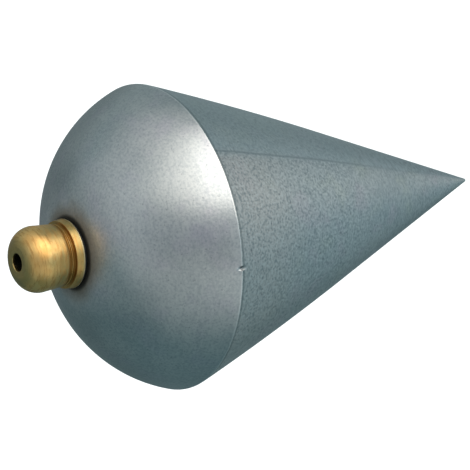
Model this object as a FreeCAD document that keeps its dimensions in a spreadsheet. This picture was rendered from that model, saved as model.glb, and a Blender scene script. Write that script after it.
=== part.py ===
# Mason's conical plumb bob: a turned steel bob, a thin black seat washer and a brass head
# that screws into the bob's crown.  Millimetres, +Z up.  The origin is the middle of the
# cord hole's mouth in the head's nose; the bob hangs below it, tip down, on the Z axis.
import FreeCAD, Part
import math
import os
import Sketcher

doc = FreeCAD.newDocument("PlumbBob")

# Driving dimensions.  A "Drop" is a depth below the nose face.
dimensions = {
    # the whole bob
    "totalDrop": 91.0,          # nose face to tip
    "rimDrop": 25.4,            # nose face to the rim, the bob's widest ring
    "rimRadius": 25.0,
    "rimEdgeRadius": 0.25,
    # the flank is straight from the tip to the join, then slightly barrelled up to the rim
    "tipRadius": 0.3,
    "flankJoinDrop": 58.2,
    "flankRadius": 625.0,
    # the dome: shoulder arc, crown arc and a flat seat for the washer
    "shoulderRadius": 23.5,
    "crownRadius": 3.93,
    "seatRadius": 5.6,
    # blind hole for the head's stud
    "tapDrillRadius": 3.323,
    "holeDepth": 13.0,
    "mouthRadius": 4.35,
    "drillPointAngle": 118.0,
    # seat washer
    "washerThickness": 0.5,
    "washerOuterRadius": 5.2,
    "washerBoreRadius": 4.1,
    # brass head
    "headHeight": 9.22,         # nose face to the back of the collar
    "noseRadius": 2.55,
    "ogiveDrop": 3.6,
    "barrelRadius": 5.3,        # the barrel tapers from here to the neck below the collar
    "neckRadius": 4.95,
    "collarRadius": 5.42,       # the collar flares from here to its back edge
    "collarBackRadius": 5.58,
    "collarDrop": 7.75,
    "collarEdgeRadius": 0.15,
    "ringRadius": 0.2,          # round-nosed tool that turned the two rings
    "ringDrop": 6.95,
    "ringStep": 0.6,
    "cordHoleRadius": 1.45,
    "cordHoleLength": 5.0,
    "knotRoomRadius": 2.3,
    "reliefRadius": 3.05,
    "reliefLength": 1.6,
    "studLength": 10.0,
    "studChamfer": 0.5,
    # screw thread, M8 coarse
    "threadRadius": 4.0,
    "threadPitch": 1.25,
    "threadTurns": 9.0,
    "threadAllowance": 0.1,     # how much smaller the stud's thread is, on the radius
    "threadDepth": 0.767,
    "threadEndDrop": 10.1,      # where the stud's thread groove runs out into the relief
}

sheet = doc.addObject("Spreadsheet::Sheet", "Dims")
for row, (alias, value) in enumerate(dimensions.items(), start=1):
    sheet.set(f"A{row}", alias)
    sheet.set(f"B{row}", str(value))
    sheet.setAlias(f"B{row}", alias)
doc.recompute()

# places that follow from the sheet
seatDrop = "(Dims.headHeight + Dims.washerThickness)"
holeFloorDrop = f"({seatDrop} + Dims.holeDepth)"
drillPoint = "Dims.tapDrillRadius / tan(Dims.drillPointAngle / 2 * 1deg)"
knotRoomCone = "(Dims.knotRoomRadius - Dims.cordHoleRadius) / tan(Dims.drillPointAngle / 2 * 1deg)"
studRadius = "(Dims.threadRadius - Dims.threadAllowance)"
studTopDrop = "(Dims.headHeight + Dims.reliefLength)"
studEndDrop = "(Dims.headHeight + Dims.studLength)"
barrelTaper = "((Dims.barrelRadius - Dims.neckRadius) / (Dims.collarDrop - Dims.ogiveDrop))"

# the sketcher's own numbers: the origin point, the two axis lines and a curve's points
originPoint = (-1, 1)
radiusAxis, heightAxis = -1, -2
start, end, centre = 1, 2, 3

closeEnough = 0.01              # when picking an edge by its place
cutterOverlap = 0.1             # how far the thread cutter starts inside the drilled hole


def newBody(name):
    body = doc.addObject("PartDesign::Body", name)
    body.Label = name
    body.Placement = FreeCAD.Placement()
    return body


def newSketch(body, name):
    """A sketch on the body's own XZ plane: its x is the radius, its y is the height."""
    sketch = body.newObject("Sketcher::SketchObject", name)
    plane = next(item for item in body.Origin.OriginFeatures if item.Role == "XZ_Plane")
    sketch.AttachmentSupport = (plane, [""])
    sketch.MapMode = "FlatFace"
    return sketch


def drive(sketch, kind, arguments, expression):
    """Add one constraint whose value comes from the sheet."""
    value = sketch.evalExpression(expression)
    index = sketch.addConstraint(Sketcher.Constraint(kind, *arguments, value))
    sketch.setExpression(f"Constraints[{index}]", expression)


def place(sketch, geometry, point, radius, drop):
    """Hold a point at a radius from the axis and a depth below the nose face; None is zero."""
    if radius:
        drive(sketch, "DistanceX", (*originPoint, geometry, point), radius)
    else:
        sketch.addConstraint(Sketcher.Constraint("PointOnObject", geometry, point, heightAxis))
    if drop:
        drive(sketch, "DistanceY", (geometry, point, *originPoint), drop)
    else:
        sketch.addConstraint(Sketcher.Constraint("PointOnObject", geometry, point, radiusAxis))


def meet(sketch, first, firstPoint, second, secondPoint, smooth=False):
    kind = "Tangent" if smooth else "Coincident"
    sketch.addConstraint(Sketcher.Constraint(kind, first, firstPoint, second, secondPoint))


def addLine(sketch, first, last):
    line = Part.LineSegment(FreeCAD.Vector(*first, 0), FreeCAD.Vector(*last, 0))
    return sketch.addGeometry(line, False)


def addArc(sketch, middle, radius, fromAngle, toAngle):
    circle = Part.Circle(FreeCAD.Vector(*middle, 0), FreeCAD.Vector(0, 0, 1), radius)
    arc = Part.ArcOfCircle(circle, math.radians(fromAngle), math.radians(toAngle))
    return sketch.addGeometry(arc, False)


def addChain(sketch, corners, closed=True):
    """Straight lines from corner to corner; a corner is its (radius, drop), None for zero."""
    points = [(sketch.evalExpression(radius or "0"), -sketch.evalExpression(drop or "0"))
              for radius, drop in corners]
    targets = points[1:] + points[:1] if closed else points[1:]
    lines = [addLine(sketch, here, there) for here, there in zip(points, targets)]
    for line, following in zip(lines, lines[1:]):
        meet(sketch, line, end, following, start)
    if closed:
        meet(sketch, lines[-1], end, lines[0], start)
    for line, corner in zip(lines, corners):
        place(sketch, line, start, *corner)
    if not closed:
        place(sketch, lines[-1], end, *corners[-1])
    return lines


def revolve(body, kind, sketch, name):
    """Turn a solid of revolution (Revolution), or turn a space away (Groove), about Z."""
    feature = body.newObject(f"PartDesign::{kind}", name)
    feature.Profile = sketch
    feature.ReferenceAxis = (sketch, ["V_Axis"])
    feature.Angle = 360
    doc.recompute()
    return feature


def cutThread(body, name, middle, widths):
    """Cut a helical groove upwards; widths are (radius, half width) of the cutter's section."""
    section = newSketch(body, name + "Section")
    (inner, innerHalf), (outer, outerHalf) = widths
    addChain(section, (
        (inner, f"{middle} + ({innerHalf})"),
        (outer, f"{middle} + ({outerHalf})"),
        (outer, f"{middle} - ({outerHalf})"),
        (inner, f"{middle} - ({innerHalf})"),
    ))
    helix = body.newObject("PartDesign::SubtractiveHelix", name)
    helix.Profile = section
    helix.ReferenceAxis = (section, ["V_Axis"])
    helix.Mode = "pitch-turns-angle"
    helix.setExpression("Pitch", "Dims.threadPitch")
    helix.setExpression("Turns", "Dims.threadTurns")
    doc.recompute()


def roundRing(body, name, radiusAlias, ringRadius, ringDrop):
    """Round the circular edge that lies at a radius and a depth."""
    base = body.Tip
    rings = []
    for number, edge in enumerate(base.Shape.Edges, start=1):
        box = edge.BoundBox
        away = max(abs(box.XMax - ringRadius), abs(box.ZMin + ringDrop), abs(box.ZMax + ringDrop))
        if away < closeEnough:
            rings.append(f"Edge{number}")
    fillet = body.newObject("PartDesign::Fillet", name)
    fillet.Base = (base, rings)
    fillet.setExpression("Radius", f"Dims.{radiusAlias}")
    doc.recompute()


def makeBob():
    """Turned steel bob, solid but for the blind tapped hole in its crown."""
    body = newBody("steel_bob")
    outline = newSketch(body, "BobOutline")
    coneLength = sheet.totalDrop - sheet.rimDrop
    flankAngle = math.degrees(math.atan2(sheet.rimRadius, coneLength))
    joinPlace = (sheet.rimRadius / 2, -sheet.flankJoinDrop)
    rimPlace = (sheet.rimRadius, -sheet.rimDrop)
    seatPlace = (sheet.seatRadius, -outline.evalExpression(seatDrop))
    # rough first places; the constraints below put them right
    tip = addArc(outline, (0, sheet.tipRadius - sheet.totalDrop), sheet.tipRadius, -90, -flankAngle)
    flank = addLine(outline, (sheet.tipRadius, -sheet.totalDrop), joinPlace)
    slope = math.radians(flankAngle)
    barrelMiddle = (joinPlace[0] - sheet.flankRadius * math.cos(slope),
                    joinPlace[1] + sheet.flankRadius * math.sin(slope))
    barrel = addArc(outline, barrelMiddle, sheet.flankRadius, -flankAngle, 3 - flankAngle)
    shoulder = addArc(outline, (rimPlace[0] - sheet.shoulderRadius, rimPlace[1]),
                      sheet.shoulderRadius, 0, 60)
    crown = addArc(outline, (seatPlace[0], seatPlace[1] - sheet.crownRadius),
                   sheet.crownRadius, 60, 90)
    seat = addLine(outline, seatPlace, (0, seatPlace[1]))
    axis = addLine(outline, (0, seatPlace[1]), (0, -sheet.totalDrop))
    meet(outline, tip, end, flank, start, smooth=True)
    meet(outline, flank, end, barrel, start, smooth=True)
    meet(outline, barrel, end, shoulder, start)
    meet(outline, shoulder, end, crown, start, smooth=True)
    meet(outline, crown, end, seat, start, smooth=True)
    meet(outline, seat, end, axis, start)
    meet(outline, axis, end, tip, start)
    outline.addConstraint(Sketcher.Constraint("PointOnObject", tip, centre, heightAxis))
    outline.addConstraint(Sketcher.Constraint("Horizontal", seat))
    for arc, alias in ((tip, "tipRadius"), (barrel, "flankRadius"),
                       (shoulder, "shoulderRadius"), (crown, "crownRadius")):
        drive(outline, "Radius", (arc,), f"Dims.{alias}")
    place(outline, axis, end, None, "Dims.totalDrop")
    drive(outline, "DistanceY", (barrel, start, *originPoint), "Dims.flankJoinDrop")
    place(outline, shoulder, start, "Dims.rimRadius", "Dims.rimDrop")
    drive(outline, "DistanceX", (*originPoint, seat, start), "Dims.seatRadius")
    place(outline, axis, start, None, seatDrop)
    revolve(body, "Revolution", outline, "BobBlank")

    drilling = newSketch(body, "DrilledHole")
    addChain(drilling, (
        (None, seatDrop),
        ("Dims.mouthRadius", seatDrop),
        ("Dims.tapDrillRadius", f"{seatDrop} + Dims.mouthRadius - Dims.tapDrillRadius"),
        ("Dims.tapDrillRadius", holeFloorDrop),
        (None, f"{holeFloorDrop} + {drillPoint}"),
    ))
    revolve(body, "Groove", drilling, "TapDrilling")
    roundRing(body, "RimEdge", "rimEdgeRadius", sheet.rimRadius, sheet.rimDrop)
    # half a pitch from the stud's groove, so that the two threads mesh with the head screwed home
    middle = "(Dims.threadEndDrop + Dims.threadPitch * (Dims.threadTurns - 0.5))"
    inner = f"(Dims.tapDrillRadius - {cutterOverlap})"
    cutThread(body, "TappedThread", middle, (
        (inner, f"Dims.threadPitch / 16 + (Dims.threadRadius - {inner}) * tan(30deg)"),
        ("Dims.threadRadius", "Dims.threadPitch / 16"),
    ))
    return body


def makeWasher():
    """Thin black washer between the crown's seat and the head's collar."""
    body = newBody("seat_washer")
    section = newSketch(body, "WasherSection")
    addChain(section, (
        ("Dims.washerBoreRadius", "Dims.headHeight"),
        ("Dims.washerOuterRadius", "Dims.headHeight"),
        ("Dims.washerOuterRadius", seatDrop),
        ("Dims.washerBoreRadius", seatDrop),
    ))
    revolve(body, "Revolution", section, "WasherRing")
    return body


def makeHead():
    """Brass head: nose with the cord hole, ringed barrel, collar and hollow threaded stud."""
    body = newBody("brass_head")
    outline = newSketch(body, "HeadOutline")
    lines = addChain(outline, (
        ("Dims.barrelRadius", "Dims.ogiveDrop"),
        ("Dims.neckRadius", "Dims.collarDrop"),
        ("Dims.collarRadius", "Dims.collarDrop"),
        ("Dims.collarBackRadius", "Dims.headHeight"),
        ("Dims.reliefRadius", "Dims.headHeight"),
        ("Dims.reliefRadius", studTopDrop),
        (studRadius, studTopDrop),
        (studRadius, f"{studEndDrop} - Dims.studChamfer"),
        (f"{studRadius} - Dims.studChamfer", studEndDrop),
        (None, studEndDrop),
        (None, None),
        ("Dims.noseRadius", None),
    ), closed=False)
    # the ogive leaves the barrel smoothly and meets the flat nose at a soft edge
    reach = sheet.barrelRadius - sheet.noseRadius
    ogiveRadius = (reach**2 + sheet.ogiveDrop**2) / (2 * reach)
    ogive = addArc(outline, (sheet.barrelRadius - ogiveRadius, -sheet.ogiveDrop), ogiveRadius, 0, 75)
    meet(outline, ogive, end, lines[-1], end)
    meet(outline, ogive, start, lines[0], start, smooth=True)
    revolve(body, "Revolution", outline, "HeadBlank")

    passage = newSketch(body, "CordPassage")
    addChain(passage, (
        (None, None),
        ("Dims.cordHoleRadius", None),
        ("Dims.cordHoleRadius", "Dims.cordHoleLength"),
        ("Dims.knotRoomRadius", f"Dims.cordHoleLength + {knotRoomCone}"),
        ("Dims.knotRoomRadius", studEndDrop),
        (None, studEndDrop),
    ))
    revolve(body, "Groove", passage, "CordBore")

    rings = newSketch(body, "RingTool")
    for drop in ("Dims.ringDrop", "(Dims.ringDrop + Dims.ringStep)"):
        surface = f"Dims.neckRadius + {barrelTaper} * (Dims.collarDrop - {drop})"
        middle = FreeCAD.Vector(rings.evalExpression(surface), -rings.evalExpression(drop), 0)
        circle = Part.Circle(middle, FreeCAD.Vector(0, 0, 1), sheet.ringRadius)
        ring = rings.addGeometry(circle, False)
        place(rings, ring, centre, surface, drop)
        drive(rings, "Radius", (ring,), "Dims.ringRadius")
    revolve(body, "Groove", rings, "TurnedRings")
    roundRing(body, "CollarEdge", "collarEdgeRadius", sheet.collarBackRadius, sheet.headHeight)
    middle = "(Dims.threadEndDrop + Dims.threadPitch * Dims.threadTurns)"
    root = f"({studRadius} - Dims.threadDepth)"
    outer = "Dims.threadRadius"
    ridge = "Dims.threadPitch * 7 / 16"
    cutThread(body, "StudThread", middle, (
        (root, f"{ridge} - Dims.threadDepth * tan(30deg)"),
        (outer, f"{ridge} + Dims.threadAllowance * tan(30deg)"),
    ))
    return body


bodies = [makeBob(), makeWasher(), makeHead()]
doc.recompute()
for item in doc.Objects:
    if any(word in item.State for word in ("Invalid", "Error")):
        raise RuntimeError(f"{item.Name} failed: {item.State}")
os.makedirs("parts", exist_ok=True)
for body in bodies:
    if body.Shape.isNull() or not body.Shape.isValid():
        raise RuntimeError(f"{body.Label} has no valid shape")
    body.Shape.exportStep(f"parts/{body.Label}.step")
    print(f"{body.Label}: {len(body.Shape.Solids)} solid, {body.Shape.Volume / 1000:.2f} cm3")
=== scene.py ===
import math

import bpy
from mathutils import Matrix, Vector


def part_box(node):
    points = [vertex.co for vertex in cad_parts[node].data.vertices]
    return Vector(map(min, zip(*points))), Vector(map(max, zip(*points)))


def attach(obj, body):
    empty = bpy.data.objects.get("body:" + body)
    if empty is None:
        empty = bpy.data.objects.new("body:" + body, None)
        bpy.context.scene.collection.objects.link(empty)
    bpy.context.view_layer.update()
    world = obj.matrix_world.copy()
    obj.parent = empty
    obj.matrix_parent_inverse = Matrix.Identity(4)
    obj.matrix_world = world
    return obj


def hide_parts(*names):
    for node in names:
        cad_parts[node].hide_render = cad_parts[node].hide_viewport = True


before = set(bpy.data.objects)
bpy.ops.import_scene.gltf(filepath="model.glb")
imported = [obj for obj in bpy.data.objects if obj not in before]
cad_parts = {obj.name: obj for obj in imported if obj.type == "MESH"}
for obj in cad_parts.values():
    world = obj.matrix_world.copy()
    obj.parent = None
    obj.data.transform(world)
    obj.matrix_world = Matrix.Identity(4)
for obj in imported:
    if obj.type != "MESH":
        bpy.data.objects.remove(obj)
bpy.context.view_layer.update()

print("plumb bob: frame loaded")

millimetre = 0.001
bobLow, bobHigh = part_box("steel_bob")
washerLow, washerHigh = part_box("seat_washer")
rimRadius = bobHigh.x / millimetre
tipDrop = -bobLow.z / millimetre
seatDrop = -bobHigh.z / millimetre
collarBackDrop = -washerHigh.z / millimetre

# outlines are drawn in the half plane: r outwards, z up, both in millimetres
axisLimit = 1e-6      # a row closer to the axis than this is one point
supportReach = 1.6    # a support row sits this many rounding lengths from its corner
supportRoom = 2.5     # and is left out where a side is shorter than this many


def arcPoints(centre, radius, startAngle, endAngle, steps, skipFirst=False):
    # angles are measured from straight up, turning outwards
    points = []
    for i in range(1 if skipFirst else 0, steps + 1):
        angle = math.radians(startAngle + (endAngle - startAngle) * i / steps)
        points.append((centre[0] + radius * math.sin(angle), centre[1] + radius * math.cos(angle), 0))
    return points


def turnOf(direction):
    return math.degrees(math.atan2(direction[0], direction[1]))


def straightRun(start, end, steps):
    # points along a line, without its first point
    points = []
    for i in range(1, steps + 1):
        part = i / steps
        points.append((start[0] + (end[0] - start[0]) * part, start[1] + (end[1] - start[1]) * part, 0))
    return points


def roundCorners(points, steps, closed=False):
    # each point is r, z and how far its corner is rounded; a support row sits beside every round
    rows = []
    count = len(points)
    for i, (r, z, soft) in enumerate(points):
        atEnd = not closed and i in (0, count - 1)
        if soft == 0 or atEnd:
            rows.append((r, z))
            continue
        here = Vector((r, z))
        toBefore = Vector(points[i - 1][:2]) - here
        toAfter = Vector(points[(i + 1) % count][:2]) - here
        before = toBefore.normalized()
        after = toAfter.normalized()
        half = toBefore.angle(toAfter) / 2
        reach = soft / math.tan(half)
        centre = here + (before + after).normalized() * soft / math.sin(half)
        fromCentre = here + before * reach - centre
        sweep = fromCentre.angle_signed(here + after * reach - centre)
        if toBefore.length > reach * supportRoom:
            rows.append(tuple(here + before * reach * supportReach))
        for k in range(steps + 1):
            rows.append(tuple(centre + Matrix.Rotation(-sweep * k / steps, 2) @ fromCentre))
        if toAfter.length > reach * supportRoom:
            rows.append(tuple(here + after * reach * supportReach))
    return rows


def evenAngles(count):
    return [2 * math.pi * i / count for i in range(count)]


def turnOnLathe(name, rows, angles, closed=False, shape=None, finish=None):
    # shape moves a point, finish picks the material slot of the faces between two rows
    vertices = []
    starts = []
    around = len(angles)
    for r, z in rows:
        starts.append(len(vertices))
        if r < axisLimit:
            vertices.append((0.0, 0.0, z * millimetre))
            continue
        for angle in angles:
            outR, outZ = shape(r, z, angle) if shape else (r, z)
            x = outR * math.cos(angle) * millimetre
            y = outR * math.sin(angle) * millimetre
            vertices.append((x, y, outZ * millimetre))
    faces = []
    slots = []
    pairs = [(i, i + 1) for i in range(len(rows) - 1)]
    if closed:
        pairs.append((len(rows) - 1, 0))
    for upper, lower in pairs:
        slotHere = finish(rows[upper], rows[lower]) if finish else 0
        a = starts[upper]
        b = starts[lower]
        for k in range(around):
            nextK = (k + 1) % around
            if rows[upper][0] < axisLimit:
                faces.append((a, b + k, b + nextK))
            elif rows[lower][0] < axisLimit:
                faces.append((a + k, b, a + nextK))
            else:
                faces.append((a + k, b + k, b + nextK, a + nextK))
            slots.append(slotHere)
    mesh = bpy.data.meshes.new(name)
    mesh.from_pydata(vertices, [], faces)
    mesh.polygons.foreach_set("material_index", slots)
    mesh.polygons.foreach_set("use_smooth", [True] * len(faces))
    mesh.update()
    piece = bpy.data.objects.new(name, mesh)
    bpy.context.scene.collection.objects.link(piece)
    return piece


# the metric thread that joins the head to the bob
thread = {
    "pitch": 1.25,
    "flankSlope": math.tan(math.radians(30)),
    "studTop": -10.1,       # middle of the highest stud groove on the +X side
    "studRoot": 3.133,
    "studRootHalf": 0.104,  # half the flat at the bottom of a stud groove
    "boreTop": -9.475,      # middle of the highest bore groove on the +X side
    "boreEnd": -21.125,     # the bore's groove stops here on the +X side
    "boreRoot": 4.0,
    "boreRootHalf": 0.078,
}


def climb(angle):
    # how far the right-hand helix has risen at an angle
    return thread["pitch"] * angle / (2 * math.pi)


def fromGroove(z, angle, reference):
    # how far a height is from the middle of the nearest groove
    along = (z - reference - climb(angle)) / thread["pitch"]
    return abs(along - round(along)) * thread["pitch"]


bobForm = {
    "seatRadius": 5.6,          # the flat the washer rests on
    "mouthRadius": 4.35,
    "mouthSoftness": 0.03,
    "mouthRowBefore": 0.05,     # rows this far before and after the mouth's edge keep it crisp
    "mouthRowAfter": 0.4,
    "boreRadius": 3.323,
    "boreDrop": 22.72,
    "drillSlope": math.tan(math.radians(59)),
    "crownRadius": 3.93,
    "shoulderRadius": 23.5,
    "rimDrop": 25.4,
    "rimSoftness": 0.25,
    "domePastRim": 0.02,        # the dome's finish runs this far down over the rim
    "flankRadius": 625.0,
    "flankJoinDrop": 58.2,
    "tipRadius": 0.3,
    "tipHalfAngle": 21.501,
    "softSteps": 8,
    "rows": {"drillPoint": 4, "bore": 112, "mouth": 10, "crown": 8, "shoulder": 72,
             "flank": 48, "cone": 56, "tip": 8},
    "columns": 240,
    "slots": {"dome": 0, "cone": 1, "bore": 2},
}
# a small knock in the rim; extra columns keep it crisp
nick = {
    "angle": math.radians(-106.7),
    "halfWidth": 0.42,
    "depth": 0.34,
    "reach": 0.6,
    "columnsEachSide": 14,
    "columnStep": 0.0033,
    "darkening": (1.25, 0.7, 0.0, 0.9),   # where it starts and is full, in half widths, and how much
}


def bobShape(r, z, angle):
    # cuts the thread into the bore and the nick into the rim
    if r < thread["boreRoot"] and z > thread["boreEnd"] + climb(angle):
        away = fromGroove(z, angle, thread["boreTop"])
        cut = thread["boreRoot"] - max(0.0, away - thread["boreRootHalf"]) / thread["flankSlope"]
        return max(r, cut), z
    swing = (angle - nick["angle"] + math.pi) % (2 * math.pi) - math.pi
    across = swing * r / nick["halfWidth"]
    down = (z + bobForm["rimDrop"]) / nick["reach"]
    near = across * across + down * down
    if near < 1:
        return r - nick["depth"] * (1 - near) ** 1.5, z
    return r, z


def bobBore(form, rows, pointDrop):
    # from the drill's point up to the edge of the mouth and out over the seat
    radius = form["boreRadius"]
    mouth = form["mouthRadius"]
    mouthDrop = seatDrop + mouth - radius
    points = [(0, -pointDrop, 0)]
    points += straightRun((0, -pointDrop), (radius, -form["boreDrop"]), rows["drillPoint"])
    points += straightRun((radius, -form["boreDrop"]), (radius, -mouthDrop), rows["bore"])
    before = form["mouthRowBefore"]
    points += straightRun((radius, -mouthDrop), (mouth - before, -seatDrop - before), rows["mouth"])
    points += [(mouth, -seatDrop, form["mouthSoftness"])]
    points += [(mouth + form["mouthRowAfter"], -seatDrop, 0), (form["seatRadius"], -seatDrop, 0)]
    return points


def bobDome(form, rows):
    # the shoulder arc passes through the rim and runs smoothly into the crown arc
    crown = form["crownRadius"]
    shoulder = form["shoulderRadius"]
    crownCentre = Vector((form["seatRadius"], -seatDrop - crown))
    rimPoint = Vector((rimRadius, -form["rimDrop"]))
    reach = shoulder - crown
    span = rimPoint - crownCentre
    along = (reach ** 2 - shoulder ** 2 + span.length_squared) / (2 * span.length)
    aside = math.sqrt(reach ** 2 - along ** 2)
    sideways = Vector((span.y, -span.x)).normalized()
    shoulderCentre = crownCentre + span.normalized() * along + sideways * aside
    crownTurn = turnOf(crownCentre - shoulderCentre)
    rimTurn = turnOf(rimPoint - shoulderCentre)
    points = arcPoints(crownCentre, crown, 0, crownTurn, rows["crown"], skipFirst=True)
    down = arcPoints(shoulderCentre, shoulder, crownTurn, rimTurn, rows["shoulder"], skipFirst=True)
    points += down[:-2]     # the rim itself is a rounded corner
    points += [(rimRadius, -form["rimDrop"], form["rimSoftness"])]
    return points


def bobCone(form, rows):
    # a hardly curved flank below the rim, then a straight cone to a small round tip
    angle = form["tipHalfAngle"]
    half = math.radians(angle)
    tip = form["tipRadius"]
    tipCentre = (0, -tipDrop + tip)
    tipTouch = (tip * math.cos(half), tipCentre[1] - tip * math.sin(half))
    joinDrop = form["flankJoinDrop"]
    join = (tipTouch[0] + (joinDrop + tipTouch[1]) * -math.tan(half), -joinDrop)
    flankRadius = form["flankRadius"]
    flankCentre = (join[0] - flankRadius * math.cos(half), join[1] + flankRadius * math.sin(half))
    rimTurn = math.degrees(math.asin((flankCentre[1] + form["rimDrop"]) / flankRadius))
    points = arcPoints(flankCentre, flankRadius, 90 + rimTurn, 90 + angle, rows["flank"], skipFirst=True)
    points += straightRun(join, tipTouch, rows["cone"])
    points += arcPoints(tipCentre, tip, 90 + angle, 180, rows["tip"], skipFirst=True)[:-1]
    points += [(0, -tipDrop, 0)]
    return points


def makeBob():
    form = bobForm
    pointDrop = form["boreDrop"] + form["boreRadius"] / form["drillSlope"]
    points = bobBore(form, form["rows"], pointDrop)
    points += bobDome(form, form["rows"])
    points += bobCone(form, form["rows"])
    rows = roundCorners(points, steps=form["softSteps"])
    angles = evenAngles(form["columns"])
    for i in range(-nick["columnsEachSide"], nick["columnsEachSide"] + 1):
        angles.append((nick["angle"] + i * nick["columnStep"]) % (2 * math.pi))
    angles = sorted(set(angles))

    def finish(upper, lower):
        if upper[0] < form["mouthRadius"] and -form["rimDrop"] < upper[1] < -seatDrop:
            return form["slots"]["bore"]
        onDome = lower[1] > -form["rimDrop"] - form["domePastRim"]
        return form["slots"]["dome" if onDome else "cone"]

    bob = turnOnLathe("bobTurned", rows, angles, shape=bobShape, finish=finish)
    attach(bob, "bob")
    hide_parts("steel_bob")
    return bob


headForm = {
    "cordHoleRadius": 1.45,
    "cordHoleLength": 5.0,
    "cordHoleSoftness": (0.14, 0.08),   # at the nose and at the knot room
    "noseRadius": 2.55,
    "noseSoftness": 0.07,
    "ogiveDrop": 3.6,
    "barrelRadius": 5.3,
    "neckRadius": 4.95,
    "ringRadius": 0.2,
    "ringLip": 0.02,                    # the wall stops this far above a ring groove
    "ringDrops": (6.95, 7.55),
    "collarRadius": 5.42,
    "collarBackRadius": 5.58,
    "collarDrop": 7.75,
    "collarFrontSoftness": 0.05,
    "collarSoftness": 0.15,
    "collarFirstRow": (0.01, -0.12),    # from its front and back edges, out and up
    "collarLastRow": (-0.04, 0.4),
    "reliefRadius": 3.05,
    "reliefDrop": 10.82,
    "reliefSoftness": 0.1,
    "studRadius": 3.9,
    "studDrop": 19.22,
    "studEntry": 0.3,                   # bevel at the stud's start
    "studChamfer": 0.5,
    "knotRoomRadius": 2.3,
    "knotRoomSoftness": (0.1, 0.05),    # at the stud's end and inside
    "drillSlope": math.tan(math.radians(59)),
    "softSteps": 6,
    "rows": {"ogive": 40, "barrel": 6, "ring": 10, "collar": 4, "stud": 96, "chamfer": 6},
    "columns": 288,
}


def studShape(r, z, angle):
    # cuts the thread into the stud
    if r < thread["studRoot"] + headForm["reliefSoftness"] or z > -headForm["reliefDrop"]:
        return r, z
    away = fromGroove(z, angle, thread["studTop"])
    cut = thread["studRoot"] + max(0.0, away - thread["studRootHalf"]) / thread["flankSlope"]
    return min(r, cut), z


def headKnob(form, rows):
    # the ogive runs smoothly into a barrel that narrows towards the collar
    ogiveDrop = form["ogiveDrop"]
    barrel = form["barrelRadius"]
    taper = math.atan((barrel - form["neckRadius"]) / (form["collarDrop"] - ogiveDrop))
    wide = barrel - form["noseRadius"]
    across = 2 * (wide * math.cos(taper) + ogiveDrop * math.sin(taper))
    ogiveRadius = (wide ** 2 + ogiveDrop ** 2) / across
    ogiveCentre = (barrel - ogiveRadius * math.cos(taper), -ogiveDrop + ogiveRadius * math.sin(taper))
    ogiveStart = turnOf((form["noseRadius"] - ogiveCentre[0], -ogiveCentre[1]))
    ogiveEnd = 90 + math.degrees(taper)
    points = [(form["cordHoleRadius"], 0, form["cordHoleSoftness"][0])]
    points += [(form["noseRadius"], 0, form["noseSoftness"])]
    points += arcPoints(ogiveCentre, ogiveRadius, ogiveStart, ogiveEnd, rows["ogive"], skipFirst=True)
    last = (barrel, -ogiveDrop)
    for drop in form["ringDrops"]:
        radius = form["neckRadius"] + math.tan(taper) * (form["collarDrop"] - drop)
        lip = form["ringRadius"] + form["ringLip"]
        points += straightRun(last, (radius + lip * math.tan(taper), -drop + lip), rows["barrel"])
        points += arcPoints((radius, -drop), form["ringRadius"], 0, -180, rows["ring"])
        last = (radius, -drop - form["ringRadius"])
    return points


def headCollar(form, rows):
    front = (form["collarRadius"], -form["collarDrop"])
    back = (form["collarBackRadius"], -collarBackDrop)
    first = (front[0] + form["collarFirstRow"][0], front[1] + form["collarFirstRow"][1])
    final = (back[0] + form["collarLastRow"][0], back[1] + form["collarLastRow"][1])
    points = [(*front, form["collarFrontSoftness"])]
    points += straightRun(first, final, rows["collar"])
    points += [(*back, form["collarSoftness"])]
    return points


def headStud(form, rows):
    # the relief behind the collar, the stud and the room inside it for the cord's knot
    relief = form["reliefRadius"]
    soft = form["reliefSoftness"]
    stud = form["studRadius"]
    entry = form["studEntry"]
    chamfer = form["studChamfer"]
    reliefEnd = -form["reliefDrop"]
    studEnd = -form["studDrop"]
    points = [(relief, -collarBackDrop, soft), (relief, reliefEnd, soft)]
    points += [(stud - entry, reliefEnd, 0), (stud, reliefEnd - entry, 0)]
    points += straightRun((stud, reliefEnd - entry), (stud, studEnd + chamfer), rows["stud"])
    points += straightRun((stud, studEnd + chamfer), (stud - chamfer, studEnd), rows["chamfer"])
    room = form["knotRoomRadius"]
    roomTop = -form["cordHoleLength"] - (room - form["cordHoleRadius"]) / form["drillSlope"]
    points += [(room, studEnd, form["knotRoomSoftness"][0])]
    points += [(room, roomTop, form["knotRoomSoftness"][1])]
    points += [(form["cordHoleRadius"], -form["cordHoleLength"], form["cordHoleSoftness"][1])]
    return points


def makeHead():
    form = headForm
    points = headKnob(form, form["rows"])
    points += headCollar(form, form["rows"])
    points += headStud(form, form["rows"])
    rows = roundCorners(points, steps=form["softSteps"], closed=True)
    head = turnOnLathe("headTurned", rows, evenAngles(form["columns"]), closed=True, shape=studShape)
    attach(head, "head")
    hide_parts("brass_head")
    return head


washerForm = {
    "boreRadius": 4.1,
    "outerRadius": 5.2,
    "softness": 0.12,
    "bulge": 0.06,
    "bulgeSoftness": 0.5,
    "softSteps": 5,
    "columns": 192,
}


def makeWasher():
    form = washerForm
    top = washerHigh.z / millimetre
    low = washerLow.z / millimetre
    edge = form["outerRadius"] - form["bulge"]
    points = [
        (form["boreRadius"], top, form["softness"]),
        (edge, top, form["softness"]),
        (form["outerRadius"], (top + low) / 2, form["bulgeSoftness"]),
        (edge, low, form["softness"]),
        (form["boreRadius"], low, form["softness"]),
    ]
    rows = roundCorners(points, steps=form["softSteps"], closed=True)
    washer = turnOnLathe("washerRing", rows, evenAngles(form["columns"]), closed=True)
    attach(washer, "washer")
    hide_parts("seat_washer")
    return washer


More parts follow.
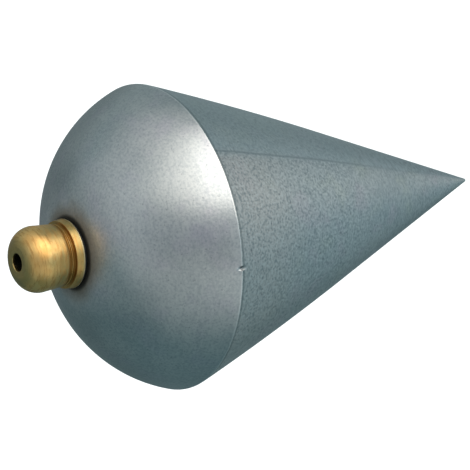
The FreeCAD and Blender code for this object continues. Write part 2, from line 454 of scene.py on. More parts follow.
bobPiece = makeBob()
print("plumb bob: bob turned,", len(bobPiece.data.polygons), "faces")
headPiece = makeHead()
print("plumb bob: head turned,", len(headPiece.data.polygons), "faces")
washerPiece = makeWasher()
print("plumb bob: washer made,", len(washerPiece.data.polygons), "faces")


def put(tree, kind, inputs=None, **settings):
    # adds a node; an input is either a value or a socket to link from
    node = tree.nodes.new(kind)
    for name, value in settings.items():
        setattr(node, name, value)
    for socket, value in (inputs or {}).items():
        if isinstance(value, bpy.types.NodeSocket):
            tree.links.new(value, node.inputs[socket])
        else:
            node.inputs[socket].default_value = value
    return node


def work(tree, operation, *values, clamp=False):
    inputs = dict(enumerate(values))
    return put(tree, "ShaderNodeMath", inputs, operation=operation, use_clamp=clamp).outputs[0]


def times(tree, first, second):
    return work(tree, "MULTIPLY", first, second)


def fade(tree, value, start, end, low=0.0, high=1.0):
    # runs smoothly from low at start to high at end
    inputs = {"Value": value, "From Min": start, "From Max": end, "To Min": low, "To Max": high}
    return put(tree, "ShaderNodeMapRange", inputs, interpolation_type="SMOOTHSTEP").outputs["Result"]


def between(tree, mask, atZero, atOne):
    return work(tree, "MULTIPLY_ADD", mask, atOne - atZero, atZero)


def bothWays(tree, noise, amount):
    # turns noise from 0 to 1 into a swing of this amount either way
    return work(tree, "MULTIPLY_ADD", noise, 2 * amount, -amount)


def tint(tree, factor, first, second, how="MIX"):
    # 6 and 7 are the colour sockets
    inputs = {"Factor": factor, 6: first, 7: second}
    return put(tree, "ShaderNodeMix", inputs, data_type="RGBA", blend_type=how).outputs[2]


def rougher(tree, rough, mask, amount):
    return work(tree, "ADD", rough, times(tree, mask, amount))


def vectorWork(tree, operation, first, second, output=0):
    node = put(tree, "ShaderNodeVectorMath", {0: first, 1: second}, operation=operation)
    return node.outputs[output]


def alongAxis(tree, vector, axis):
    return vectorWork(tree, "DOT_PRODUCT", vector, axis, "Value")


def objectPlace(tree):
    return put(tree, "ShaderNodeTexCoord").outputs["Object"]


def placeParts(tree):
    return put(tree, "ShaderNodeSeparateXYZ", {0: objectPlace(tree)}).outputs


def objectHeight(tree):
    return placeParts(tree)[2]


def objectRadius(tree):
    flat = vectorWork(tree, "MULTIPLY", objectPlace(tree), (1, 1, 0))
    return put(tree, "ShaderNodeVectorMath", {0: flat}, operation="LENGTH").outputs["Value"]


def noiseAt(tree, place, scale, detail, roughness=0.5):
    inputs = {"Vector": place, "Scale": scale, "Detail": detail, "Roughness": roughness}
    return put(tree, "ShaderNodeTexNoise", inputs).outputs[0]


def bump(tree, height, strength, distance, normal=None):
    inputs = {"Height": height, "Strength": strength, "Distance": distance}
    if normal:
        inputs["Normal"] = normal
    return put(tree, "ShaderNodeBump", inputs).outputs[0]


def newGroup(name, inputs, outputs):
    tree = bpy.data.node_groups.new(name, "ShaderNodeTree")
    for socket, value in inputs.items():
        made = tree.interface.new_socket(socket, in_out="INPUT", socket_type="NodeSocketFloat")
        made.default_value = value
    for socket in outputs:
        tree.interface.new_socket(socket, in_out="OUTPUT", socket_type="NodeSocketFloat")
    return tree, tree.nodes.new("NodeGroupInput").outputs, tree.nodes.new("NodeGroupOutput").inputs


def useGroup(tree, group, **values):
    node = tree.nodes.new("ShaderNodeGroup")
    node.node_tree = group
    for name, value in values.items():
        node.inputs[name].default_value = value
    return node.outputs


def makeTurningMarks():
    # rings left by the lathe tool: noise that changes quickly across the rings and slowly along them
    inputs = {"Fineness": 3000.0, "Along": 2.0, "Detail": 2.0}
    tree, given, result = newGroup("turningMarks", inputs, ["Marks"])
    leastRadius = 0.00001
    x, y, z = placeParts(tree)
    radius = work(tree, "SQRT", work(tree, "ADD", times(tree, x, x), times(tree, y, y)))
    safe = work(tree, "MAXIMUM", radius, leastRadius)
    across = times(tree, work(tree, "DIVIDE", x, safe), given["Along"])
    along = times(tree, work(tree, "DIVIDE", y, safe), given["Along"])
    outwards = times(tree, radius, given["Fineness"])
    upwards = times(tree, z, given["Fineness"])
    spot = put(tree, "ShaderNodeCombineXYZ", {0: outwards, 1: upwards, 2: across}).outputs[0]
    settings = {"Vector": spot, "W": along, "Scale": 1.0, "Detail": given["Detail"], "Roughness": 0.6}
    noise = put(tree, "ShaderNodeTexNoise", settings, noise_dimensions="4D")
    tree.links.new(noise.outputs[0], result["Marks"])
    return tree


def makePitSpecks():
    # small dark pits of uneven size, thinned out by a broader patchiness
    inputs = {"Fineness": 2000.0, "Size": 0.35, "Crowding": 0.6}
    tree, given, result = newGroup("pitSpecks", inputs, ["Specks"])
    smallest = 0.4
    largest = 1.3
    patchScale = 260.0
    patchiness = 0.6
    place = objectPlace(tree)
    cells = put(tree, "ShaderNodeTexVoronoi", {"Vector": place, "Scale": given["Fineness"]})
    lot = put(tree, "ShaderNodeSeparateColor", {0: cells.outputs["Color"]}).outputs[0]
    size = times(tree, given["Size"], between(tree, lot, smallest, largest))
    away = work(tree, "DIVIDE", cells.outputs["Distance"], size)
    dot = work(tree, "SUBTRACT", 1.0, away, clamp=True)
    patches = noiseAt(tree, place, patchScale, detail=3.0)
    chance = work(tree, "ADD", given["Crowding"], bothWays(tree, patches, patchiness))
    chosen = work(tree, "LESS_THAN", lot, chance)
    tree.links.new(times(tree, dot, chosen), result["Specks"])
    return tree


def makePebbleGrain():
    # fine pebbly grain with dark and pale grains, 0.5 on the whole
    inputs = {"Fineness": 2300.0, "Contrast": 2.5}
    tree, given, result = newGroup("pebbleGrain", inputs, ["Grain"])
    fine = noiseAt(tree, objectPlace(tree), given["Fineness"], detail=1.5, roughness=0.6)
    spread = times(tree, work(tree, "SUBTRACT", fine, 0.5), given["Contrast"])
    tree.links.new(work(tree, "ADD", spread, 0.5, clamp=True), result["Grain"])
    return tree


def makeMetalClouds():
    # slow change from patch to patch, between 0 and 1 and mostly near the middle
    inputs = {"Fineness": 90.0, "Spread": 1.6}
    tree, given, result = newGroup("metalClouds", inputs, ["Clouds", "Hue"])
    hueShift = (0.31, 0.17, 0.05)
    hueFineness = 1.7
    place = objectPlace(tree)
    broad = noiseAt(tree, place, given["Fineness"], detail=4.0, roughness=0.55)
    shifted = vectorWork(tree, "ADD", place, hueShift)
    hue = noiseAt(tree, shifted, times(tree, given["Fineness"], hueFineness), detail=3.0)
    for value, name in ((broad, "Clouds"), (hue, "Hue")):
        centred = work(tree, "SUBTRACT", value, 0.5)
        spread = work(tree, "MULTIPLY_ADD", centred, given["Spread"], 0.5)
        tree.links.new(work(tree, "MINIMUM", work(tree, "MAXIMUM", spread, 0.0), 1.0), result[name])
    return tree


def makeEdgeGlintAndShade():
    # a ragged band round the piece at one height, used for painted glints along edges, painted shade in
    # grooves and a painted dark reflection under the rim
    inputs = {"Height": 0.0, "Width": 0.0003, "Ragged": 0.5}
    tree, given, result = newGroup("edgeGlintAndShade", inputs, ["Band"])
    chipScale = 900.0
    place = objectPlace(tree)
    away = work(tree, "ABSOLUTE", work(tree, "SUBTRACT", objectHeight(tree), given["Height"]))
    chips = bothWays(tree, noiseAt(tree, place, chipScale, detail=3.0), 1.0)
    width = times(tree, given["Width"], work(tree, "ADD", 1.0, times(tree, given["Ragged"], chips)))
    near = work(tree, "SUBTRACT", 1.0, work(tree, "DIVIDE", away, width), clamp=True)
    tree.links.new(near, result["Band"])
    return tree


turningMarks = makeTurningMarks()
pitSpecks = makePitSpecks()
pebbleGrain = makePebbleGrain()
metalClouds = makeMetalClouds()
edgeGlintAndShade = makeEdgeGlintAndShade()


def newMaterial(name):
    material = bpy.data.materials.new(name)
    material.use_nodes = True
    tree = material.node_tree
    tree.nodes.clear()
    output = tree.nodes.new("ShaderNodeOutputMaterial")
    shader = tree.nodes.new("ShaderNodeBsdfPrincipled")
    tree.links.new(shader.outputs[0], output.inputs["Surface"])
    return material, tree, shader.inputs


def finishSurface(tree, shader, colour, rough, normal, metallic):
    tree.links.new(colour, shader["Base Color"])
    tree.links.new(rough, shader["Roughness"])
    tree.links.new(normal, shader["Normal"])
    shader["Metallic"].default_value = metallic


def nickDarkening(tree):
    # darker round the nick in the rim
    start, full, low, high = nick["darkening"]
    turn = nick["angle"]
    spot = Vector((rimRadius * math.cos(turn), rimRadius * math.sin(turn), -bobForm["rimDrop"]))
    away = vectorWork(tree, "DISTANCE", objectPlace(tree), spot * millimetre, "Value")
    width = nick["halfWidth"] * millimetre
    return fade(tree, away, width * start, width * full, low, high)


# in every finish a range is start, end and, where they aren't 0 and 1, the amounts there; those named
# Heights go by metres up the piece, those named Out by metres from its axis; a bump is strength and depth

domeFinish = {
    "clouds": {"Fineness": 110.0, "Spread": 2.2},
    "marks": {"Fineness": 3400.0, "Along": 14.0, "Detail": 2.0},
    "grain": {"Fineness": 2500.0, "Contrast": 2.6},
    "specks": {"Fineness": 1400.0, "Size": 0.34, "Crowding": 0.4},
    "edge": {"Width": 0.00022, "Ragged": 0.8},
    "pale": (0.66, 0.67, 0.665, 1),
    "dull": (0.53, 0.56, 0.57, 1),
    "mauve": (0.61, 0.58, 0.64, 1),
    "darkSteel": (0.44, 0.47, 0.49, 1),
    "paleGrain": (0.72, 0.73, 0.72, 1),
    "pit": (0.30, 0.32, 0.34, 1),
    "bright": (0.86, 0.87, 0.86, 1),
    "nick": (0.07, 0.08, 0.085, 1),
    "brassReflection": (0.19, 0.155, 0.11, 1),
    "darkening": (0.02, 0.02, 0.018, 1),
    "mauvePatches": (0.45, 0.95, 0.0, 0.6),
    "darkRings": (0.35, 0.65, 0.0, 0.35),
    "darkGrains": (0.45, 0.1, 0.0, 0.6),
    "paleGrains": (0.5, 0.9, 0.0, 0.35),
    "pitsOut": (0.010, 0.019, 0.35, 0.9),
    "brassReflectionOut": (0.0094, 0.0054),
    "brassReflectionRagged": 0.0008,
    "brassReflectionStrength": 0.75,
    "contactShadowOut": (0.0064, 0.0057, 0.0, 0.8),
    "roughness": (0.1, 0.9, 0.27, 0.37),
    "speckRoughness": 0.12,
    "reflectionZoneRoughness": 0.25,
    "haloOut": (0.0135, 0.0054, 0.0, 0.2),      # duller steel round the painted brass reflection
    "markBump": (0.08, 0.00004),
    "grainBump": (0.07, 0.00006),
}


def makeDomeSteel():
    look = domeFinish
    material, tree, shader = newMaterial("domeSteel")
    clouds = useGroup(tree, metalClouds, **look["clouds"])
    marks = useGroup(tree, turningMarks, **look["marks"])["Marks"]
    grain = useGroup(tree, pebbleGrain, **look["grain"])["Grain"]
    specks = useGroup(tree, pitSpecks, **look["specks"])["Specks"]
    # the rim's bright band is a painted glint
    edge = useGroup(tree, edgeGlintAndShade, Height=-bobForm["rimDrop"] * millimetre, **look["edge"])["Band"]
    out = objectRadius(tree)
    colour = tint(tree, clouds["Clouds"], look["dull"], look["pale"])
    colour = tint(tree, fade(tree, clouds["Hue"], *look["mauvePatches"]), colour, look["mauve"])
    colour = tint(tree, fade(tree, marks, *look["darkRings"]), colour, look["darkSteel"])
    colour = tint(tree, fade(tree, grain, *look["darkGrains"]), colour, look["darkSteel"])
    colour = tint(tree, fade(tree, grain, *look["paleGrains"]), colour, look["paleGrain"])
    colour = tint(tree, times(tree, specks, fade(tree, out, *look["pitsOut"])), colour, look["pit"])
    # painted glint: a bright band along the rim
    colour = tint(tree, edge, colour, look["bright"])
    # a painted brown reflection of the brass head and painted contact shade round the washer, a painted
    # black contact shadow close to it
    ragged = work(tree, "ADD", out, bothWays(tree, clouds["Hue"], look["brassReflectionRagged"]))
    brassReflection = fade(tree, ragged, *look["brassReflectionOut"])
    colour = tint(tree, times(tree, brassReflection, look["brassReflectionStrength"]), colour, look["brassReflection"])
    # painted contact shadow: near black right round the washer
    colour = tint(tree, fade(tree, out, *look["contactShadowOut"]), colour, look["darkening"])
    colour = tint(tree, nickDarkening(tree), colour, look["nick"])
    rough = fade(tree, clouds["Clouds"], *look["roughness"])
    rough = rougher(tree, rough, specks, look["speckRoughness"])
    rough = rougher(tree, rough, brassReflection, look["reflectionZoneRoughness"])
    rough = work(tree, "ADD", rough, fade(tree, out, *look["haloOut"]))
    normal = bump(tree, marks, *look["markBump"])
    normal = bump(tree, grain, *look["grainBump"], normal)
    finishSurface(tree, shader, colour, rough, normal, metallic=1.0)
    return material


coneFinish = {
    "clouds": {"Fineness": 95.0, "Spread": 2.2},
    "marks": {"Fineness": 2600.0, "Along": 9.0, "Detail": 3.0},
    "grain": {"Fineness": 2300.0, "Contrast": 2.6},
    "specks": {"Fineness": 1150.0, "Size": 0.34, "Crowding": 0.6},
    "underRimReflection": {"Width": 0.0003, "Ragged": 0.4},
    "underRimDrop": 0.35,           # millimetres below the rim
    "underRimStrength": 0.65,
    "pale": (0.51, 0.535, 0.54, 1),
    "dull": (0.41, 0.45, 0.465, 1),
    "olive": (0.50, 0.53, 0.49, 1),
    "mauve": (0.52, 0.49, 0.53, 1),
    "warm": (0.585, 0.545, 0.52, 1),
    "teal": (0.42, 0.50, 0.53, 1),
    "darkSteel": (0.24, 0.28, 0.30, 1),
    "paleGrain": (0.66, 0.68, 0.68, 1),
    "pit": (0.12, 0.145, 0.16, 1),
    "darkEdge": (0.14, 0.17, 0.18, 1),
    "olivePatches": (0.5, 0.95, 0.0, 0.7),
    "mauvePatches": (0.42, 0.05, 0.0, 0.7),
    "warmHeights": (-0.048, -0.029, 0.0, 0.7),
    "tipHeights": (-0.050, -0.074),
    "smootherAngles": (59, 67),     # degrees from +X where the smoother, bluer side ends
    "tealBySide": (0.6, 0.0),       # on the smoother side and on the rest
    "grainBySide": (0.55, 1.0),
    "grainByHeight": (0.7, 0.2),    # near the rim and towards the tip
    "ringsByHeight": (0.2, 0.65),
    "darkRings": (0.4, 0.66),
    "darkGrains": (0.5, 0.05),
    "paleGrains": (0.5, 0.95),
    "paleStrength": 0.75,
    "roughness": (0.1, 0.9, 0.28, 0.40),
    "speckRoughness": 0.2,
    "markBump": (0.12, 0.00005),
    "grainBump": (0.22, 0.00008),
    "pitBump": (0.3, 0.0001),
    "reflectionLineStrength": 0.6,
}
# a faint dark reflection line painted straight down the cone
reflectionLine = {
    "angle": math.radians(-62.5),
    "halfWidth": 0.00016,
    "width": (2.0, 0.5),            # where it starts and is full, in half widths
    "wander": 0.0003,
    "wanderScale": 120.0,
    "heights": (-0.072, -0.050, 0.3, 1.0),
}


def pittedSide(tree, limits):
    # 0 on the smoother side of the cone, 1 on the pitted rest
    x, y = placeParts(tree)[:2]
    angle = work(tree, "ABSOLUTE", work(tree, "ARCTAN2", y, x))
    return fade(tree, angle, math.radians(limits[0]), math.radians(limits[1]))


def darkReflectionLine(tree):
    turn = reflectionLine["angle"]
    place = objectPlace(tree)
    across = alongAxis(tree, place, (-math.sin(turn), math.cos(turn), 0.0))
    facing = alongAxis(tree, place, (math.cos(turn), math.sin(turn), 0.0))
    wander = noiseAt(tree, place, reflectionLine["wanderScale"], detail=2.0)
    across = work(tree, "ADD", across, bothWays(tree, wander, reflectionLine["wander"]))
    start, full = (reflectionLine["halfWidth"] * share for share in reflectionLine["width"])
    line = fade(tree, work(tree, "ABSOLUTE", across), start, full)
    line = times(tree, line, work(tree, "GREATER_THAN", facing, 0.0))
    return times(tree, line, fade(tree, objectHeight(tree), *reflectionLine["heights"]))


def makeConeSteel():
    look = coneFinish
    material, tree, shader = newMaterial("coneSteel")
    clouds = useGroup(tree, metalClouds, **look["clouds"])
    marks = useGroup(tree, turningMarks, **look["marks"])["Marks"]
    grain = useGroup(tree, pebbleGrain, **look["grain"])["Grain"]
    specks = useGroup(tree, pitSpecks, **look["specks"])["Specks"]
    # a painted dark reflection line just under the rim
    underRimHeight = -(bobForm["rimDrop"] + look["underRimDrop"]) * millimetre
    underRimReflection = useGroup(tree, edgeGlintAndShade, Height=underRimHeight, **look["underRimReflection"])["Band"]
    up = objectHeight(tree)
    towardsTip = fade(tree, up, *look["tipHeights"])
    pitted = pittedSide(tree, look["smootherAngles"])
    colour = tint(tree, clouds["Clouds"], look["dull"], look["pale"])
    colour = tint(tree, fade(tree, clouds["Hue"], *look["olivePatches"]), colour, look["olive"])
    colour = tint(tree, fade(tree, clouds["Hue"], *look["mauvePatches"]), colour, look["mauve"])
    warmth = times(tree, fade(tree, up, *look["warmHeights"]), pitted)
    colour = tint(tree, warmth, colour, look["warm"])
    colour = tint(tree, between(tree, pitted, *look["tealBySide"]), colour, look["teal"])
    rings = fade(tree, marks, *look["darkRings"])
    rings = times(tree, rings, between(tree, towardsTip, *look["ringsByHeight"]))
    colour = tint(tree, rings, colour, look["darkSteel"])
    strength = times(tree, between(tree, towardsTip, *look["grainByHeight"]),
                     between(tree, pitted, *look["grainBySide"]))
    darker = times(tree, fade(tree, grain, *look["darkGrains"]), strength)
    paler = times(tree, fade(tree, grain, *look["paleGrains"]), times(tree, strength, look["paleStrength"]))
    colour = tint(tree, darker, colour, look["darkSteel"])
    colour = tint(tree, paler, colour, look["paleGrain"])
    colour = tint(tree, times(tree, specks, strength), colour, look["pit"])
    # painted dark reflection line down the cone
    colour = tint(tree, times(tree, darkReflectionLine(tree), look["reflectionLineStrength"]), colour, look["darkSteel"])
    colour = tint(tree, nickDarkening(tree), colour, look["pit"])
    colour = tint(tree, times(tree, underRimReflection, look["underRimStrength"]), colour, look["darkEdge"])
    rough = fade(tree, clouds["Clouds"], *look["roughness"])
    rough = rougher(tree, rough, specks, look["speckRoughness"])
    normal = bump(tree, marks, *look["markBump"])
    normal = bump(tree, grain, *look["grainBump"], normal)
    normal = bump(tree, times(tree, specks, -1.0), *look["pitBump"], normal)
    finishSurface(tree, shader, colour, rough, normal, metallic=1.0)
    return material


boreFinish = {
    "clouds": {"Fineness": 400.0, "Spread": 2.0},
    "marks": {"Fineness": 6000.0, "Along": 5.0, "Detail": 1.0},
    "steel": (0.42, 0.43, 0.44, 1),
    "deepDark": (0.09, 0.085, 0.08, 1),
    "deepDarkHeights": (-0.0105, -0.014),
    "roughness": (0.0, 1.0, 0.30, 0.55),
    "markBump": (0.2, 0.00005),
}


def makeBoreSteel():
    look = boreFinish
    material, tree, shader = newMaterial("boreSteel")
    clouds = useGroup(tree, metalClouds, **look["clouds"])
    marks = useGroup(tree, turningMarks, **look["marks"])["Marks"]
    # darker in patches deeper in the bore
    deep = fade(tree, objectHeight(tree), *look["deepDarkHeights"])
    colour = tint(tree, times(tree, clouds["Clouds"], deep), look["steel"], look["deepDark"])
    rough = fade(tree, clouds["Hue"], *look["roughness"])
    finishSurface(tree, shader, colour, rough, bump(tree, marks, *look["markBump"]), metallic=1.0)
    return material


washerFinish = {
    "clouds": {"Fineness": 700.0, "Spread": 2.0},
    "grainScale": 9000.0,
    "black": (0.012, 0.013, 0.014, 1),
    "dust": (0.05, 0.052, 0.054, 1),
    "dustPatches": (0.4, 1.0, 0.0, 0.7),
    "roughness": (0.0, 1.0, 0.5, 0.75),
    "grainBump": (0.3, 0.00003),
}


def makeWasherBlack():
    look = washerFinish
    material, tree, shader = newMaterial("washerBlack")
    clouds = useGroup(tree, metalClouds, **look["clouds"])
    grain = noiseAt(tree, objectPlace(tree), look["grainScale"], detail=2.0)
    colour = tint(tree, fade(tree, clouds["Clouds"], *look["dustPatches"]), look["black"], look["dust"])
    rough = fade(tree, clouds["Hue"], *look["roughness"])
    finishSurface(tree, shader, colour, rough, bump(tree, grain, *look["grainBump"]), metallic=0.0)
    return material


brassFinish = {
    "clouds": {"Fineness": 300.0, "Spread": 2.6},
    "marks": {"Fineness": 3300.0, "Along": 2.4, "Detail": 3.0},
    "broadMarks": {"Fineness": 1000.0, "Along": 2.2, "Detail": 1.0},
    "specks": {"Fineness": 2300.0, "Size": 0.4, "Crowding": 0.35},
    "ringShade": {"Width": 0.00027, "Ragged": 0.1},
    "backEdgeGlint": {"Width": 0.0002, "Ragged": 0.5},
    "gold": (1.0, 0.68, 0.28, 1),
    "dull": (0.92, 0.56, 0.20, 1),
    "olive": (0.50, 0.41, 0.17, 1),
    "orange": (0.86, 0.48, 0.15, 1),
    "line": (0.68, 0.37, 0.12, 1),
    "nose": (0.40, 0.33, 0.14, 1),
    "groove": (0.30, 0.15, 0.035, 1),
    "bright": (0.95, 0.82, 0.52, 1),
    "hole": (0.10, 0.09, 0.06, 1),
    "orangePatches": (0.45, 0.95, 0.0, 0.7),
    "olivePatches": (0.0, 1.0, 0.4, 1.0),
    "oliveHeights": (-0.0030, -0.0062),
    "collarPatches": (0.1, 0.9, 0.95, 0.45),
    "collarHeights": (-0.00772, -0.00782),
    "noseHeights": (-0.0009, -0.0001, 0.0, 0.75),
    "dullRings": (0.42, 0.6, 0.0, 0.55),
    "orangeRings": (0.50, 0.34, 0.0, 0.6),
    "darkLines": (0.49, 0.63, 0.0, 0.85),
    "brightLines": (0.36, 0.22, 0.0, 0.6),
    "ringDepths": (0.08, 0.5),
    "speckStrength": 0.55,
    "holeOut": (0.00152, 0.00146),
    "holeHeights": (-0.0001, -0.0006),
    "roughness": (0.1, 0.9, 0.26, 0.40),
    "lineRoughness": 0.08,
    "markBump": (0.5, 0.00008),
    "broadBump": (0.3, 0.00012),
    "pitBump": (0.2, 0.00006),
}


def makeHeadBrass():
    look = brassFinish
    material, tree, shader = newMaterial("headBrass")
    clouds = useGroup(tree, metalClouds, **look["clouds"])
    marks = useGroup(tree, turningMarks, **look["marks"])["Marks"]
    broadMarks = useGroup(tree, turningMarks, **look["broadMarks"])["Marks"]
    specks = useGroup(tree, pitSpecks, **look["specks"])["Specks"]
    up = objectHeight(tree)
    colour = tint(tree, clouds["Clouds"], look["dull"], look["gold"])
    colour = tint(tree, fade(tree, clouds["Hue"], *look["orangePatches"]), colour, look["orange"])
    # tarnish in patches on the neck and on the collar
    neck = times(tree, fade(tree, up, *look["oliveHeights"]),
                 fade(tree, clouds["Clouds"], *look["olivePatches"]))
    colour = tint(tree, neck, colour, look["olive"])
    collar = times(tree, fade(tree, up, *look["collarHeights"]),
                   fade(tree, clouds["Hue"], *look["collarPatches"]))
    colour = tint(tree, collar, colour, look["olive"])
    colour = tint(tree, fade(tree, broadMarks, *look["dullRings"]), colour, look["dull"])
    colour = tint(tree, fade(tree, broadMarks, *look["orangeRings"]), colour, look["orange"])
    colour = tint(tree, fade(tree, marks, *look["darkLines"]), colour, look["line"])
    colour = tint(tree, fade(tree, marks, *look["brightLines"]), colour, look["bright"])
    colour = tint(tree, fade(tree, up, *look["noseHeights"]), colour, look["nose"])
    # painted shade darkens the two ring grooves
    for drop in headForm["ringDrops"]:
        ringShade = useGroup(tree, edgeGlintAndShade, Height=-drop * millimetre, **look["ringShade"])["Band"]
        colour = tint(tree, fade(tree, ringShade, *look["ringDepths"]), colour, look["groove"])
    colour = tint(tree, times(tree, specks, look["speckStrength"]), colour, look["groove"])
    # painted glint: a bright line along the collar's back edge
    backEdgeHeight = -(collarBackDrop - headForm["collarSoftness"]) * millimetre
    backEdgeGlint = useGroup(tree, edgeGlintAndShade, Height=backEdgeHeight, **look["backEdgeGlint"])["Band"]
    colour = tint(tree, backEdgeGlint, colour, look["bright"])
    # painted shade darkens the inside of the cord hole
    holeShade = times(tree, fade(tree, objectRadius(tree), *look["holeOut"]),
                   fade(tree, up, *look["holeHeights"]))
    colour = tint(tree, holeShade, colour, look["hole"])
    rough = fade(tree, clouds["Hue"], *look["roughness"])
    rough = rougher(tree, rough, marks, look["lineRoughness"])
    normal = bump(tree, marks, *look["markBump"])
    normal = bump(tree, broadMarks, *look["broadBump"], normal)
    normal = bump(tree, times(tree, specks, -1.0), *look["pitBump"], normal)
    finishSurface(tree, shader, colour, rough, normal, metallic=1.0)
    return material


# in the order of the bob's slots
for bobMaterial in (makeDomeSteel(), makeConeSteel(), makeBoreSteel()):
    bobPiece.data.materials.append(bobMaterial)
headPiece.data.materials.append(makeHeadBrass())
washerPiece.data.materials.append(makeWasherBlack())
print("plumb bob: finishes applied")


cameraSetting = {
    "place": Vector((0.0, -0.34326, 0.18726)),
    "right": Vector((-0.1817, -0.5454, -0.8183)),
    "up": Vector((0.9833, -0.0966, -0.1540)),
    "lens": 191.489,
    "sensorWidth": 36.0,
    "clipStart": 0.01,
    "clipEnd": 50.0,
}


def aimed(place, right, up):
    # a transform whose -Z looks along the view
    right = right.normalized()
    up = (up - right * up.dot(right)).normalized()
    back = right.cross(up)
    turn = Matrix((right, up, back)).transposed()
    return Matrix.Translation(place) @ turn.to_4x4()


def makeCamera():
    setting = cameraSetting
    data = bpy.data.cameras.new("viewCamera")
    data.lens = setting["lens"]
    data.sensor_width = setting["sensorWidth"]
    data.clip_start = setting["clipStart"]
    data.clip_end = setting["clipEnd"]
    camera = bpy.data.objects.new("viewCamera", data)
    camera.matrix_world = aimed(setting["place"], setting["right"], setting["up"])
    bpy.context.scene.collection.objects.link(camera)
    return camera


viewCamera = makeCamera()
bpy.context.scene.camera = viewCamera
bpy.context.scene.view_settings.view_transform = "Standard"
viewRight, viewUp, viewBack = (viewCamera.matrix_world.col[i].xyz for i in range(3))


# azimuth and elevation are in degrees about the camera's own aim; sizes in metres
keyPanel = {
    "azimuth": 20,
    "elevation": 47,
    "width": 0.42,
    "height": 0.72,
    "distance": 0.8,
    "brightness": 0.45,
    "colour": (1.0, 0.99, 0.96),
}


def addPanel(name, panel):
    azimuth = math.radians(panel["azimuth"])
    elevation = math.radians(panel["elevation"])
    towards = (viewRight * math.sin(azimuth) + viewBack * math.cos(azimuth)) * math.cos(elevation)
    towards += viewUp * math.sin(elevation)
    data = bpy.data.lights.new(name, "AREA")
    data.shape = "RECTANGLE"
    data.size = panel["width"]
    data.size_y = panel["height"]
    data.energy = panel["brightness"] * math.pi * panel["width"] * panel["height"]
    data.color = panel["colour"]
    lamp = bpy.data.objects.new(name, data)
    side = viewUp.cross(towards).normalized()
    middle = (bobLow + bobHigh) / 2
    lamp.matrix_world = aimed(middle + towards * panel["distance"], side, towards.cross(side))
    bpy.context.scene.collection.objects.link(lamp)


addPanel("keyPanel", keyPanel)

# the soft surround: two colour ramps from under the object to over it, as the camera has it
surround = {
    "around": (
        (0.0, (0.115, 0.19, 0.205, 1)),
        (0.08, (0.11, 0.18, 0.195, 1)),
        (0.15, (0.098, 0.16, 0.172, 1)),
        (0.36, (0.16, 0.238, 0.25, 1)),
        (0.48, (0.235, 0.285, 0.30, 1)),
        (0.60, (0.25, 0.315, 0.328, 1)),
        (0.72, (0.306, 0.385, 0.398, 1)),
        (1.0, (0.268, 0.335, 0.348, 1)),
    ),
    "below": (
        (0.0, (0.22, 0.30, 0.33, 1)),
        (0.35, (0.295, 0.415, 0.445, 1)),
        (0.5, (0.415, 0.54, 0.58, 1)),
        (0.63, (0.575, 0.67, 0.69, 1)),
        (0.72, (0.575, 0.665, 0.68, 1)),
        (0.80, (0.48, 0.575, 0.60, 1)),
        (1.0, (0.40, 0.48, 0.51, 1)),
    ),
    "belowRange": (0.40, 0.78),     # how far right the second ramp starts and takes over
    "darkRight": -0.55,             # the room is darker this way
    "darkBack": -0.83,
    "darkRange": (0.70, 0.88, 1.0, 0.64),   # how near to it, and the light kept
    "background": (0.97, 0.97, 0.97, 1),
    "backgroundStrength": 1.1,
}
# broad glows with a soft edge: azimuth and elevation, each as start, full, still full and gone in
# degrees, and the colour they add
glows = {
    "keyWide": ((-66, -8, 72, 98), (7, 24, 48, 88), (1.03, 0.95, 0.875, 1)),
    "keyRight": ((-22, 16, 70, 92), (9, 24, 56, 82), (0.55, 0.505, 0.46, 1)),
    "leftWide": ((-112, -74, -64, -34), (-20, 22, 52, 80), (0.185, 0.16, 0.165, 1)),
    "topLeft": ((-130, -80, -30, -5), (45, 72, 90, 100), (0.22, 0.20, 0.195, 1)),
    "lowRight": ((-15, 12, 40, 80), (-14, 4, 12, 26), (0.20, 0.185, 0.18, 1)),
    "leftStrip": ((-85, -58, -50, -34), (-46, -12, 12, 30), (0.17, 0.175, 0.18, 1)),
    "gapBlue": ((-60, -35, 20, 45), (-16, -6, 2, 10), (0.008, 0.0, 0.03, 1)),
    "lowWarm": ((-75, -45, 25, 70), (-42, -22, -16, -2), (0.09, 0.065, 0.06, 1)),
    "tableWide": ((-80, -26, 60, 100), (-82, -44, -30, -12), (0.25, 0.24, 0.235, 1)),
    "tableRight": ((-20, 25, 60, 100), (-66, -38, -36, -16), (0.15, 0.145, 0.14, 1)),
}


def colourRamp(tree, value, colours):
    ramp = put(tree, "ShaderNodeValToRGB", {0: value})
    stops = ramp.color_ramp.elements
    while len(stops) < len(colours):
        stops.new(0.5)
    for stop, (place, colour) in zip(stops, colours):
        stop.position = place
        stop.color = colour
    return ramp.outputs[0]


def softRange(tree, value, limits):
    start, full, still, gone = (math.radians(limit) for limit in limits)
    return times(tree, fade(tree, value, start, full), fade(tree, value, still, gone, 1.0, 0.0))


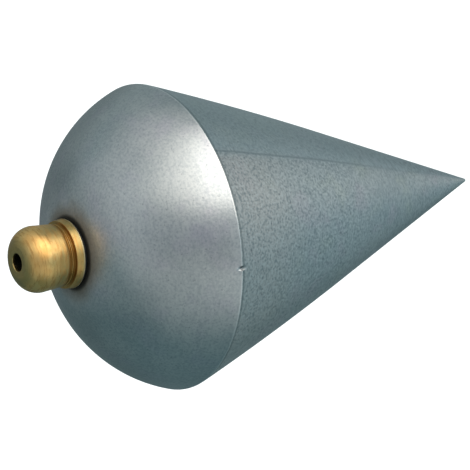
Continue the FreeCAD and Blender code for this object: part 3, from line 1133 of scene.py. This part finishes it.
def makeSurround():
    world = bpy.data.worlds.new("studioSurround")
    bpy.context.scene.world = world
    world.use_nodes = True
    tree = world.node_tree
    tree.nodes.clear()
    direction = put(tree, "ShaderNodeTexCoord").outputs["Generated"]
    right, up, back = (alongAxis(tree, direction, axis) for axis in (viewRight, viewUp, viewBack))
    height = between(tree, up, 0.5, 1.0)
    around = colourRamp(tree, height, surround["around"])
    below = colourRamp(tree, height, surround["below"])
    darkWay = (viewRight * surround["darkRight"] + viewBack * surround["darkBack"]).normalized()
    darker = fade(tree, alongAxis(tree, direction, darkWay), *surround["darkRange"])
    shaded = put(tree, "ShaderNodeVectorMath", {0: around, "Scale": darker}, operation="SCALE").outputs[0]
    colour = tint(tree, fade(tree, right, *surround["belowRange"]), shaded, below)
    azimuth = work(tree, "ARCTAN2", right, back)
    elevation = work(tree, "ARCSINE", up)
    for azimuthLimits, elevationLimits, glow in glows.values():
        mask = times(tree, softRange(tree, azimuth, azimuthLimits),
                     softRange(tree, elevation, elevationLimits))
        colour = tint(tree, mask, colour, glow, how="ADD")
    light = put(tree, "ShaderNodeBackground", {"Color": colour, "Strength": 1.0})
    plain = {"Color": surround["background"], "Strength": surround["backgroundStrength"]}
    behind = put(tree, "ShaderNodeBackground", plain)
    seen = put(tree, "ShaderNodeLightPath").outputs["Is Camera Ray"]
    choose = put(tree, "ShaderNodeMixShader", {0: seen, 1: light.outputs[0], 2: behind.outputs[0]})
    output = tree.nodes.new("ShaderNodeOutputWorld")
    tree.links.new(choose.outputs[0], output.inputs["Surface"])


makeSurround()


floorSetting = {
    "drop": 0.25,
    "size": 6.0,
    "paper": (0.9, 0.9, 0.9, 1),
    "fibre": (0.92, 0.92, 0.92, 1),
    "fibreScale": 400.0,
    "fibreRange": (0.3, 0.7),
    "roughness": 0.9,
    "glowColour": (1, 1, 1, 1),
    "glow": 0.85,
}


def makeFloor():
    setting = floorSetting
    half = setting["size"] / 2
    height = bobLow.z - setting["drop"]
    mesh = bpy.data.meshes.new("studioFloor")
    corners = [(-half, -half, height), (half, -half, height), (half, half, height), (-half, half, height)]
    mesh.from_pydata(corners, [], [(0, 1, 2, 3)])
    floor = bpy.data.objects.new("studioFloor", mesh)
    bpy.context.scene.collection.objects.link(floor)
    material, tree, shader = newMaterial("floorPaper")
    fibres = noiseAt(tree, objectPlace(tree), setting["fibreScale"], detail=3.0)
    colour = tint(tree, fade(tree, fibres, *setting["fibreRange"]), setting["paper"], setting["fibre"])
    tree.links.new(colour, shader["Base Color"])
    shader["Roughness"].default_value = setting["roughness"]
    shader["Emission Color"].default_value = setting["glowColour"]
    shader["Emission Strength"].default_value = setting["glow"]
    mesh.materials.append(material)
    floor.visible_glossy = False
    floor.visible_diffuse = False


makeFloor()
print("plumb bob: camera, panels and floor ready")
